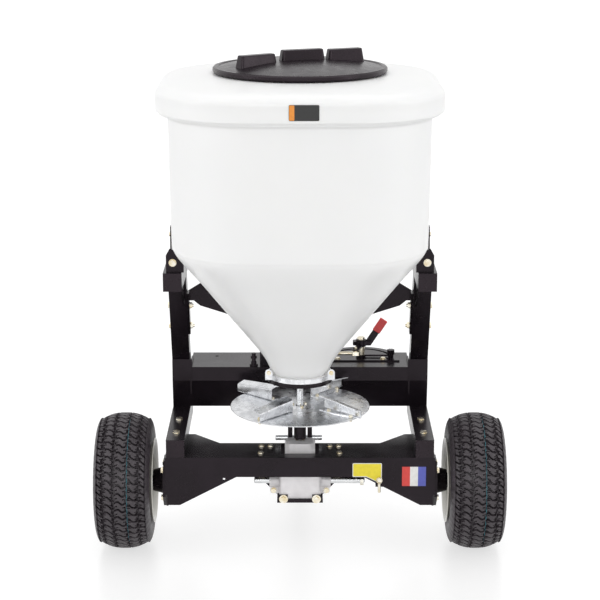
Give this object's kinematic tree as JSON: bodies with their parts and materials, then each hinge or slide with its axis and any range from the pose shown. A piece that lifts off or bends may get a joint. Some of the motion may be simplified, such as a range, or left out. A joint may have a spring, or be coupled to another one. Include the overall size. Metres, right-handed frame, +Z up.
{
  "type": "tow-behind broadcast spreader",
  "caption": "Tow-behind broadcast spreader: poly hopper on a black tube frame, ground-driven spinner, gate lever and pneumatic turf wheels.",
  "frame": {"origin": "on the floor at the middle of the footprint", "axes": "+Z up, +Y towards the hitch, +X to the right seen from behind"},
  "size_m": [1.1384, 1.52, 1.401],
  "materials": {
    "black_steel": "semi-gloss black powder coat",
    "galvanised": "bright galvanised sheet",
    "zinc": "yellow zinc plated",
    "bright_steel": "plain bright steel",
    "cast_alloy": "sand-cast, unpainted",
    "gear_steel": "machined and oiled",
    "bronze": "sintered bronze",
    "white_poly": "translucent natural polyethylene",
    "black_plastic": "fine-grained moulded black",
    "red_grip": "dipped vinyl",
    "tyre_rubber": "matte turf tyre rubber",
    "rubber": "matte",
    "rim_paint": "cream gloss enamel"
  },
  "bodies": {
    "frame": {"axle_beam": "black_steel", "end_plates": "black_steel", "lower_rails": "black_steel", "upper_rails": "black_steel", "rail_caps": "black_plastic", "posts": "black_steel", "cross_member": "black_steel", "saddle_plates": "black_steel", "hopper_brackets": "black_steel", "tongue": "black_steel", "hitch_clevis": "black_steel", "tongue_brackets": "black_steel", "spindle_plates": "black_steel", "left_spindle": "bright_steel", "frame_bolts": "zinc", "gearbox_rear_half": "cast_alloy", "gearbox_front_half": "cast_alloy", "shaft_bushes": "bronze", "gearbox_cradle": "black_steel", "gearbox_bolts": "zinc", "spinner_yoke": "black_steel", "retaining_rod": "bright_steel", "hopper": "white_poly", "outlet_ring": "galvanised", "outlet_stays": "black_steel", "gate_base": "black_steel", "hopper_bolts": "zinc", "quadrant_plate": "black_steel", "pivot_bolt": "zinc", "clamp_knob": "black_plastic"},
    "left_wheel": {"left_tyre": "tyre_rubber", "left_rim": "rim_paint", "left_valve_stem": "rubber", "left_hub": "black_steel", "left_dust_cap": "zinc", "left_bearings": "bronze"},
    "right_wheel": {"right_tyre": "tyre_rubber", "right_rim": "rim_paint", "right_valve_stem": "rubber", "right_hub": "black_steel", "right_dust_cap": "zinc"},
    "gear_sleeve": {"bevel_gear": "gear_steel"},
    "sliding_shaft": {"drive_shaft": "bright_steel", "shaft_collar": "zinc"},
    "spinner": {"bevel_pinion": "gear_steel", "spinner_shaft": "bright_steel", "shaft_coupler": "black_steel", "disc_hub": "black_steel", "spinner_disc": "galvanised", "spinner_fins": "galvanised", "spinner_bolts": "zinc", "agitator_pin": "bright_steel"},
    "gate": {"gate_shutter": "galvanised", "gate_rod": "zinc"},
    "lever": {"gate_lever": "black_steel", "lever_grip": "red_grip"},
    "stop": {"stop_arm": "black_steel"},
    "lid": {"lid": "black_plastic"},
    "stand": {"stand_leg": "black_steel"},
    "pull_pin": {"axle_pin": "zinc"}
  },
  "joints": [
    {"name": "left_wheel_spin", "type": "hinge", "parent": "frame", "child": "left_wheel", "pos_m": [-0.491, -0.38, 0.1905], "axis": [1, 0, 0], "continuous": true},
    {"name": "right_wheel_spin", "type": "hinge", "parent": "frame", "child": "right_wheel", "pos_m": [0.491, -0.38, 0.1905], "axis": [1, 0, 0], "continuous": true},
    {"name": "spinner_spin", "type": "hinge", "parent": "frame", "child": "spinner", "pos_m": [0, -0.38, 0.411], "axis": [0, 0, 1], "continuous": true},
    {"name": "gear_spin", "type": "hinge", "parent": "frame", "child": "gear_sleeve", "pos_m": [0, -0.38, 0.1905], "axis": [1, 0, 0], "continuous": true},
    {"name": "shaft_slide", "type": "slide", "parent": "gear_sleeve", "child": "sliding_shaft", "axis": [1, 0, 0], "range_m": [0, 0.07]},
    {"name": "gate_lever_swing", "type": "hinge", "parent": "frame", "child": "lever", "pos_m": [0.179, -0.08, 0.503], "axis": [0, 0, 1], "range_deg": [0, 40]},
    {"name": "gate_slide", "type": "slide", "parent": "frame", "child": "gate", "axis": [1, 0, 0], "range_m": [0, 0.0336]},
    {"name": "stop_arm_swing", "type": "hinge", "parent": "frame", "child": "stop", "pos_m": [0.179, -0.08, 0.479], "axis": [0, 0, 1], "range_deg": [0, 130]},
    {"name": "lid_lift", "type": "slide", "parent": "frame", "child": "lid", "axis": [0, 0, 1], "range_m": [0, 0.25]},
    {"name": "stand_fold", "type": "hinge", "parent": "frame", "child": "stand", "pos_m": [0, 0.5, 0.338], "axis": [-1, 0, 0], "range_deg": [0, 90]},
    {"name": "pull_pin_swing", "type": "hinge", "parent": "frame", "child": "pull_pin", "pos_m": [0.219, -0.4855, 0.229], "axis": [0, 1, 0], "range_deg": [-35, 35]}
  ],
  "couplings": [
    {"joint": "gear_spin", "follows": "spinner_spin", "ratio": -0.5},
    {"joint": "gate_slide", "follows": "gate_lever_swing", "m_per_rad": 0.047964}
  ]
}
